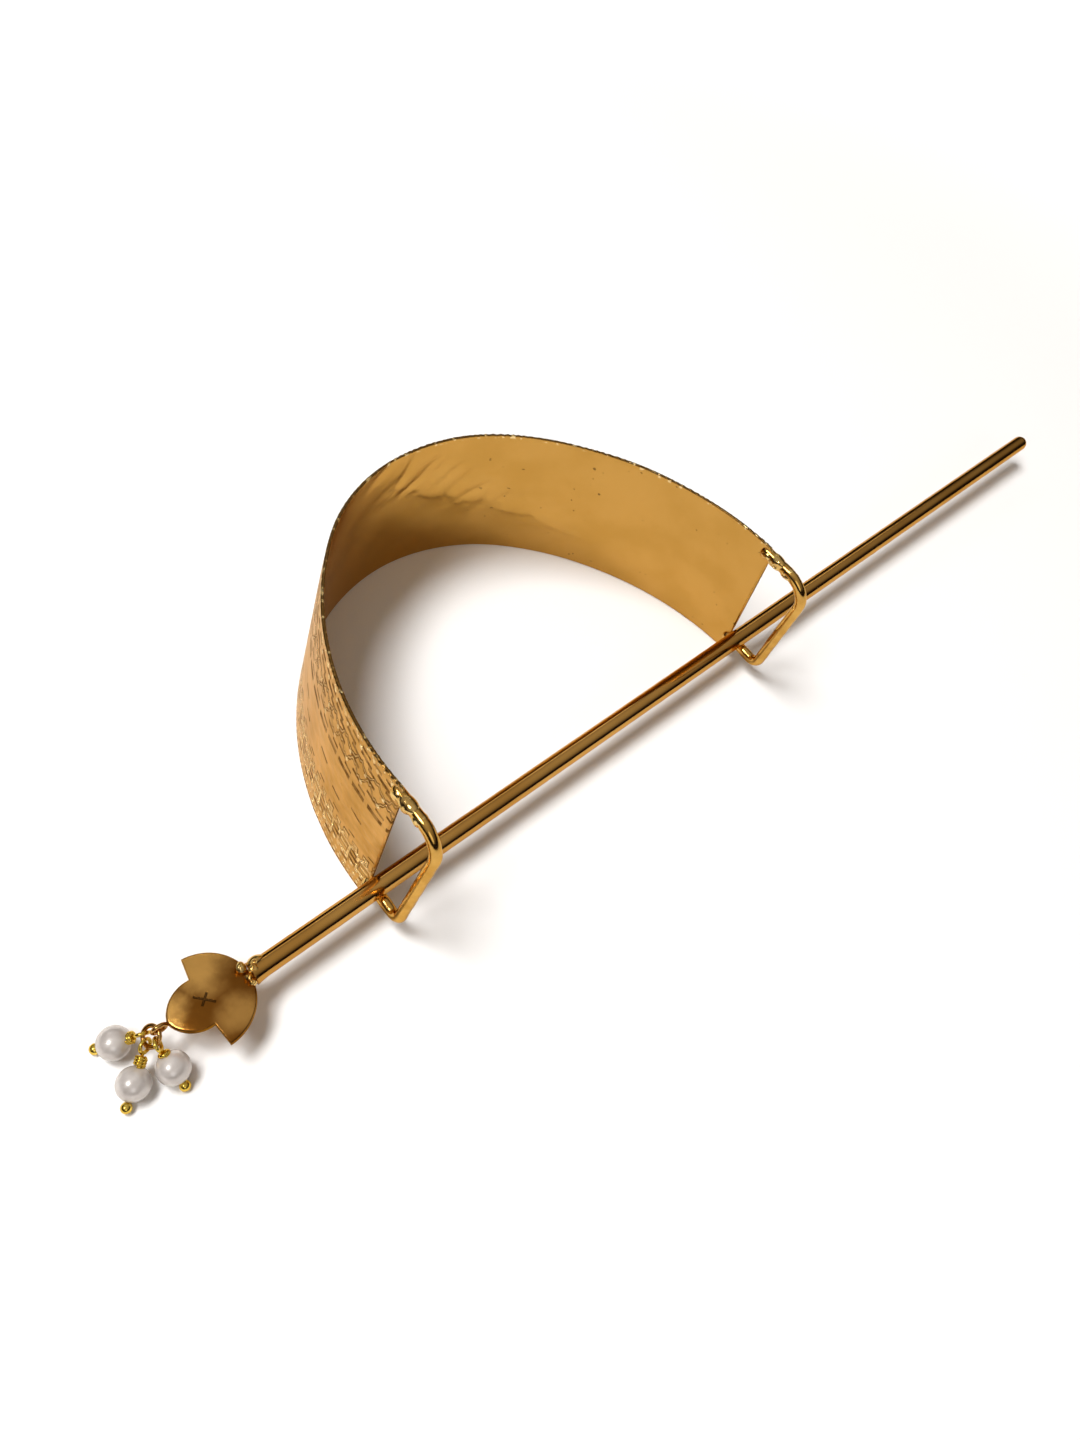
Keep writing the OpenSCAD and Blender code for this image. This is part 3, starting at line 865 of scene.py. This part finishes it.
def pin_skin(round_ring, heading, wraps):
    """The loop is a circle of PIN_LOOP in the plane y = 0, and the shank runs from it along x to
    the ball, a half circle turned about x. The winding is a helix (x0 + rise * t, r cos t,
    r sin t) of as many turns as the pin has wraps, and a fifth."""
    square = (0, 1, 0)
    pearl_x = pearl_reach(wraps)
    t = np.linspace(0, 2 * np.pi, 48, endpoint=False)
    loop = np.stack([PIN_LOOP * np.cos(t), 0 * t, PIN_LOOP * np.sin(t)], -1)
    x = np.array([PIN_LOOP - 0.04, PIN_LOOP, pearl_x, pearl_x + PEARL_RADIUS + 0.3])
    shank = np.stack([x, 0 * x, 0 * x], -1)
    t = np.linspace(0, 2 * np.pi * (wraps + 0.2), 40 * wraps)
    x = PIN_LOOP + PIN_RADIUS + WINDING_WIRE + (wraps * WRAP_STEP - 0.2) * t / t[-1]
    winding = np.stack([x, WINDING_RADIUS * np.cos(t), WINDING_RADIUS * np.sin(t)], -1)
    outward = np.stack([0 * t, np.cos(t), np.sin(t)], -1)
    polar = np.radians(np.linspace(2, 178, 24))
    x = pearl_x + PEARL_RADIUS + PIN_BALL + BALL_GAP - PIN_BALL * np.cos(polar)
    ball = np.stack([x, 0 * x, 0 * x], -1)
    points, faces = wire_skin(loop, square, PIN_RADIUS, 14, True)
    for path, across, radius, sides in (
        (shank, square, PIN_RADIUS, 14),
        (winding, outward, WINDING_WIRE, 14),
        (ball, square, PIN_BALL * np.sin(polar)[:, None], 32),
    ):
        more, joined = wire_skin(path, across, radius, sides, False, len(points))
        points = np.concatenate([points, more])
        faces += joined
    return hung(points, round_ring, heading, wraps), faces


PEARL_TONES = (0.50, 0.455, 0.425), (0.62, 0.575, 0.545)


def pearl_finish():
    """Cloudy warm white under a soft strong gloss, with light let a little into the body."""
    pearl = Finish("pearl")
    cloudy = pearl.cloud(1.6, 3.0).rise(0.3, 0.7)
    pearl.relief(pearl.cloud(0.3, 2.0), 0.006)
    pearl.feed(Base_Color=pearl.blend(cloudy, *PEARL_TONES), Metallic=0.25,
               Roughness=0.32 + 0.06 * cloudy, Coat_Weight=1.0, Coat_Roughness=0.25, Coat_IOR=2.3,
               Subsurface_Weight=0.1, Subsurface_Radius=(0.4, 0.35, 0.3), Subsurface_Scale=0.001)
    return pearl.material


def dress(node, material):
    """Puts a finish on a CAD node, whose shape stays."""
    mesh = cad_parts[node].data
    mesh.materials.clear()
    mesh.materials.append(material)
    mesh.shade_smooth()


pin_gold = wire_finish("yellow_pin_wire", (0.90, 0.66, 0.13), (0.78, 0.52, 0.07), 0.17, 0.004)
pearl_white = pearl_finish()
dress("jump_ring", ring_wire)
for number, drop in enumerate(DROPS, 1):
    pin = lay_mesh("pin_%d" % number, *pin_skin(*drop), "stick", "wire_brass", "head_pin_%d" % number)
    pin.data.materials.append(pin_gold)
    dress("pearl_%d" % number, pearl_white)


# The table and the light. A white surface under one soft lamp, which throws the shadows; a
# smaller lamp, a long window behind and a weak lamp in front, which the metal mirrors; and a
# pale room that is dark below. The camera looks down from the front left. All in metres.
TABLE_HALF = 2.0
TABLE_Z = -3e-5
floor_mesh = bpy.data.meshes.new("table_top")
floor_mesh.from_pydata([(TABLE_HALF * x, TABLE_HALF * y, TABLE_Z) for x, y in
                        ((-1, -1), (1, -1), (1, 1), (-1, 1))], [], [(0, 1, 2, 3)])
floor = bpy.data.objects.new("table_top", floor_mesh)
bpy.context.scene.collection.objects.link(floor)
table = Finish("white_table")
# the picture's ground was whitened: the metal mirrors a greyer table than the camera sees
camera_ray = table.node("ShaderNodeLightPath")
seen_table = table.blend(table.cloud(60.0), (0.93, 0.93, 0.93), (0.95, 0.95, 0.95))
east, north = table.parts(table.where(), 2)
far_out = ((east ** 2 + north ** 2) ** 0.5).rise(0.16, 0.55)
glow = table.blend(camera_ray * far_out, (0, 0, 0), (1, 1, 1))
table.feed(Base_Color=table.blend(camera_ray, (0.80, 0.77, 0.74), seen_table), Roughness=0.8,
           Emission_Color=glow, Emission_Strength=1.0)
floor_mesh.materials.append(table.material)


def soft_lamp(name, toward, distance, size, power, colour, shines=True, length=None):
    """A round lamp, or a strip where it has a length, that lies toward a direction and faces the
    origin. The metal mirrors it if it shines."""
    lamp = bpy.data.lights.new(name, "AREA")
    lamp.shape, lamp.size, lamp.energy, lamp.color = "DISK", size, power, colour
    if length:
        lamp.shape, lamp.size, lamp.size_y = "RECTANGLE", length, size
    holder = bpy.data.objects.new(name, lamp)
    holder.location = Vector(toward).normalized() * distance
    holder.rotation_euler = Vector(toward).to_track_quat("Z", "Y").to_euler()
    holder.visible_glossy = shines
    bpy.context.scene.collection.objects.link(holder)


soft_lamp("key_lamp", (-0.25, 0.23, 1.0), 1.2, 0.42, 11.5, (1.0, 1.0, 1.0), False)
soft_lamp("key_shine", (-0.50, 0.06, 0.87), 1.2, 0.30, 3.8, (1.0, 0.99, 0.97))
soft_lamp("window", (0.32, 0.66, 0.60), 1.2, 0.09, 0.6, (1.0, 0.97, 0.92), length=1.6)
soft_lamp("front_lamp", (-0.5, -0.9, 0.7), 1.4, 0.7, 1.2, (1.0, 1.0, 1.0))

# the metal mirrors a room that brightens upward, the camera sees it white, and it lights evenly
room = Finish("white_room", bpy.data.worlds, "Background")
bpy.context.scene.world = room.material
upward = room.node("ShaderNodeSeparateXYZ", values={0: room.node("ShaderNodeTexCoord")}, out=2)
room_ramp = (0.36, (0.015, 0.01, 0.008)), (0.52, (0.20, 0.175, 0.15)), (0.95, (0.52, 0.49, 0.46))
walls = room.node("ShaderNodeValToRGB", {"stops": room_ramp}, {0: upward})
room_seen = room.blend(room.node("ShaderNodeLightPath", out=2), walls, (0.23, 0.19, 0.155))
room_seen = room.blend(room.node("ShaderNodeLightPath"), room_seen, (1.0, 1.0, 1.0))
room.feed(Color=room_seen, Strength=1.0)

# the camera's lens, axes and place were fitted to the picture's outline
lens = bpy.data.cameras.new("camera")
lens.lens, lens.sensor_width, lens.sensor_fit = 27.025, 36.0, "AUTO"
lens.clip_start, lens.clip_end = 0.01, 20.0
camera = bpy.data.objects.new("camera", lens)
right = Vector((0.7381064, -0.6526860, 0.1708798))
down = Vector((-0.4866314, -0.6904480, -0.5352302))
ahead = Vector((0.4673209, 0.3119014, -0.8272417))
turn = Matrix((right, -down, -ahead)).transposed().to_4x4()
camera.matrix_world = Matrix.Translation((-0.082192, -0.096785, 0.148517)) @ turn
bpy.context.scene.collection.objects.link(camera)
bpy.context.scene.camera = camera
bpy.context.scene.view_settings.view_transform = "Standard"
